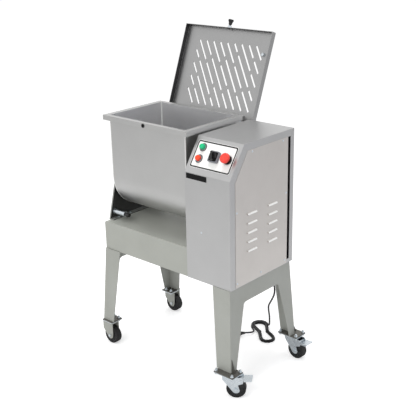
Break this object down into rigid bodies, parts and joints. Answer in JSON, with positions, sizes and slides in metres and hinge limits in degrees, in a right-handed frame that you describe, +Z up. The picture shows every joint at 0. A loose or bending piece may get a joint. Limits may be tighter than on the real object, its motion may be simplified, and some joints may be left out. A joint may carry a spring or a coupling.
{
  "type": "meat mixer",
  "caption": "Floor-standing meat mixer: tilting stainless trough with paddle shaft, slotted guard lid, gear drive cabinet with sloping controls, wheeled stand.",
  "frame": {"origin": "centre of the bounding box on the floor, the free cord left out", "axes": "+X from the trough to the drive cabinet, +Y from the control panel to the back, +Z up"},
  "size_m": [0.8258, 0.6374, 1.3759],
  "materials": {
    "stainless": "satin brushed stainless sheet",
    "stand_paint": "smooth grey paint",
    "dark_steel": "dark grey, matt",
    "zinc": "bright zinc plate",
    "gear_steel": "oiled machined steel",
    "bronze": "sintered bronze",
    "motor_paint": "dark enamel on cast iron",
    "black_plastic": "matt black",
    "black_rubber": "matt black",
    "red_plastic": "glossy red",
    "green_plastic": "glossy green",
    "label_white": "printed plastic sheet, bare of text"
  },
  "bodies": {
    "stand": {"table_box": "stainless", "end_frame_left": "stand_paint", "end_frame_right": "stand_paint", "foot_plates": "dark_steel", "stand_bolts": "zinc", "caster_top_plates": "zinc", "caster_forks_left": "stand_paint", "left_axle_bolts": "zinc", "tilt_bracket": "dark_steel", "trunnion_bearing": "bronze", "lock_plunger_body": "zinc", "idler_axle": "zinc", "motor_housing": "motor_paint", "drive_plate": "dark_steel", "neck_bearing": "bronze", "shaft_bearing": "gear_steel", "control_box": "black_plastic", "cabinet_shell": "stainless", "cabinet_base": "stainless", "side_cover": "stainless", "back_panel": "stainless", "cover_screws": "zinc", "control_label": "label_white", "blank_plate": "black_plastic", "control_bezels": "black_plastic", "estop_base": "black_plastic", "cable_gland": "black_plastic", "power_cord": "black_rubber", "cord_hank": "black_rubber", "plug": "black_plastic"},
    "tank": {"tank_shell": "stainless", "tank_trunnion": "stainless", "lock_arm": "dark_steel", "tank_neck": "stainless", "neck_seal": "black_rubber", "hinge_brackets": "stainless", "hinge_pin": "zinc"},
    "lid": {"lid": "stainless", "latch_bush": "zinc"},
    "latch": {"latch_plunger": "black_plastic"},
    "lock": {"lock_pin": "black_plastic"},
    "shaft": {"mixing_shaft": "stainless", "paddles": "stainless", "main_gear": "gear_steel"},
    "idler": {"idler_gear": "gear_steel"},
    "rotor": {"motor_rotor": "gear_steel"},
    "start_button": {"start_button": "green_plastic"},
    "stop_button": {"stop_button": "red_plastic"},
    "estop": {"estop_head": "red_plastic"},
    "selector": {"selector_knob": "black_plastic"},
    "wheel_front_left": {"wheel_front_left": "black_rubber"},
    "wheel_rear_left": {"wheel_rear_left": "black_rubber"},
    "swivel_front_right": {"swivel_fork_front_right": "zinc", "axle_front_right": "zinc"},
    "swivel_rear_right": {"swivel_fork_rear_right": "zinc", "axle_rear_right": "zinc"},
    "wheel_front_right": {"wheel_front_right": "black_rubber"},
    "wheel_rear_right": {"wheel_rear_right": "black_rubber"},
    "pedal_front_right": {"brake_pedal_front_right": "zinc"},
    "pedal_rear_right": {"brake_pedal_rear_right": "zinc"}
  },
  "joints": [
    {"name": "tank_tilt", "type": "hinge", "parent": "stand", "child": "tank", "pos_m": [0.09299, -0.06602, 0.765], "axis": [1, 0, 0], "range_deg": [0, 90]},
    {"name": "lid_hinge", "type": "hinge", "parent": "tank", "child": "lid", "pos_m": [-0.15159, 0.14098, 0.9928], "axis": [1, 0, 0], "range_deg": [0, 111]},
    {"name": "lid_latch", "type": "slide", "parent": "lid", "child": "latch", "axis": [0, 0.3584, 0.9336], "range_m": [0, 0.008], "stiffness_N_per_m": 400},
    {"name": "tilt_lock", "type": "slide", "parent": "stand", "child": "lock", "axis": [1, 0, 0], "range_m": [0, 0.011], "stiffness_N_per_m": 600},
    {"name": "shaft_spin", "type": "hinge", "parent": "stand", "child": "shaft", "pos_m": [0.09299, -0.06602, 0.765], "axis": [1, 0, 0], "continuous": true},
    {"name": "idler_spin", "type": "hinge", "parent": "stand", "child": "idler", "pos_m": [0.09299, -0.06602, 0.685], "axis": [1, 0, 0], "continuous": true},
    {"name": "motor_spin", "type": "hinge", "parent": "stand", "child": "rotor", "pos_m": [0.09299, -0.06602, 0.605], "axis": [1, 0, 0], "continuous": true},
    {"name": "start_press", "type": "slide", "parent": "stand", "child": "start_button", "axis": [0, 0.8258, -0.564], "range_m": [0, 0.003], "stiffness_N_per_m": 800},
    {"name": "stop_press", "type": "slide", "parent": "stand", "child": "stop_button", "axis": [0, 0.8258, -0.564], "range_m": [0, 0.003], "stiffness_N_per_m": 800},
    {"name": "estop_press", "type": "slide", "parent": "stand", "child": "estop", "axis": [0, 0.8258, -0.564], "range_m": [0, 0.005], "stiffness_N_per_m": 1500},
    {"name": "selector_turn", "type": "hinge", "parent": "stand", "child": "selector", "pos_m": [0.21049, -0.2186, 0.94859], "axis": [0, -0.8258, 0.564], "range_deg": [-45, 45]},
    {"name": "wheel_front_left_roll", "type": "hinge", "parent": "stand", "child": "wheel_front_left", "pos_m": [-0.36292, -0.27282, 0.0395], "axis": [0, 1, 0], "continuous": true},
    {"name": "wheel_rear_left_roll", "type": "hinge", "parent": "stand", "child": "wheel_rear_left", "pos_m": [-0.37092, 0.13178, 0.0395], "axis": [0, 1, 0], "continuous": true},
    {"name": "swivel_front_right_turn", "type": "hinge", "parent": "stand", "child": "swivel_front_right", "pos_m": [0.3159, -0.28082, 0.09], "axis": [0, 0, 1], "continuous": true},
    {"name": "wheel_front_right_roll", "type": "hinge", "parent": "swivel_front_right", "child": "wheel_front_right", "pos_m": [0.34274, -0.26339, 0.0395], "axis": [-0.5446, 0.8387, 0], "continuous": true},
    {"name": "pedal_front_right_press", "type": "hinge", "parent": "swivel_front_right", "child": "pedal_front_right", "pos_m": [0.35952, -0.2525, 0.083], "axis": [-0.5446, 0.8387, 0], "range_deg": [0, 10]},
    {"name": "swivel_rear_right_turn", "type": "hinge", "parent": "stand", "child": "swivel_rear_right", "pos_m": [0.3159, 0.14078, 0.09], "axis": [0, 0, 1], "continuous": true},
    {"name": "wheel_rear_right_roll", "type": "hinge", "parent": "swivel_rear_right", "child": "wheel_rear_right", "pos_m": [0.34786, 0.13911, 0.0395], "axis": [0.0523, 0.9986, 0], "continuous": true},
    {"name": "pedal_rear_right_press", "type": "hinge", "parent": "swivel_rear_right", "child": "pedal_rear_right", "pos_m": [0.36783, 0.13806, 0.083], "axis": [0.0523, 0.9986, 0], "range_deg": [0, 10]}
  ],
  "couplings": [
    {"joint": "idler_spin", "follows": "shaft_spin", "ratio": -3},
    {"joint": "motor_spin", "follows": "shaft_spin", "ratio": 9}
  ]
}
